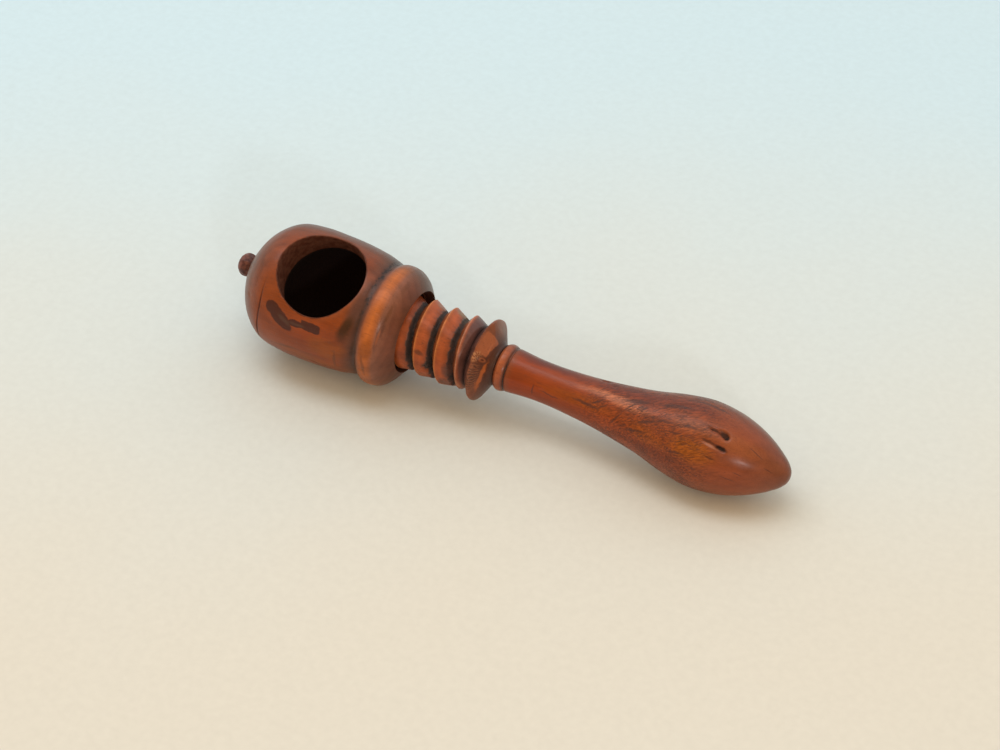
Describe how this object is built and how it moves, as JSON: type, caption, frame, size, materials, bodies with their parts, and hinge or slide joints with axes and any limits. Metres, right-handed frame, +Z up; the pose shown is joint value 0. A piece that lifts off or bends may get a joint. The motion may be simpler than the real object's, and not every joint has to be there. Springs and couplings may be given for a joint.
{
  "type": "screw nutcracker",
  "caption": "Turned wooden screw nutcracker: a hollow barrel with a round nut hole, and a coarse wooden screw turned by a long bulbous handle that presses the nut against the closed end.",
  "frame": {"origin": "on the table, under the middle of the object's box, as it lies on the barrel's belly and the handle's bulb", "axes": "+Z up from the table; +X along the object from the closed end of the barrel to the handle, with the turned axis sloping down 3.3 degrees towards +X; +Y across"},
  "size_m": [0.1848, 0.0409, 0.0415],
  "materials": {
    "barrel_wood": "old waxed fruitwood, orange-brown, satin",
    "finial_wood": "dark purple-brown wood, dull",
    "screw_wood": "paler orange wood, worn on the crests and grimy in the roots",
    "handle_wood": "red-brown figured wood, polished by handling",
    "dowel_wood": "plain unfinished wood"
  },
  "bodies": {
    "barrel_assembly": {"barrel": "barrel_wood", "end_finial": "finial_wood"},
    "thrust_dowel": {"joint_dowel": "dowel_wood"},
    "screw_and_handle": {"screw": "screw_wood", "handle": "handle_wood"}
  },
  "joints": [
    {"name": "screw_advance", "type": "slide", "parent": "barrel_assembly", "child": "thrust_dowel", "axis": [-0.9984, 0, 0.0567], "range_m": [-0.00701, 0.02363]},
    {"name": "screw_turn", "type": "hinge", "parent": "thrust_dowel", "child": "screw_and_handle", "pos_m": [-0.02656, 0, 0.01882], "axis": [-0.9984, 0, 0.0567], "range_deg": [-360, 1215]}
  ],
  "couplings": [
    {"joint": "screw_advance", "follows": "screw_turn", "m_per_rad": 0.0011141}
  ]
}
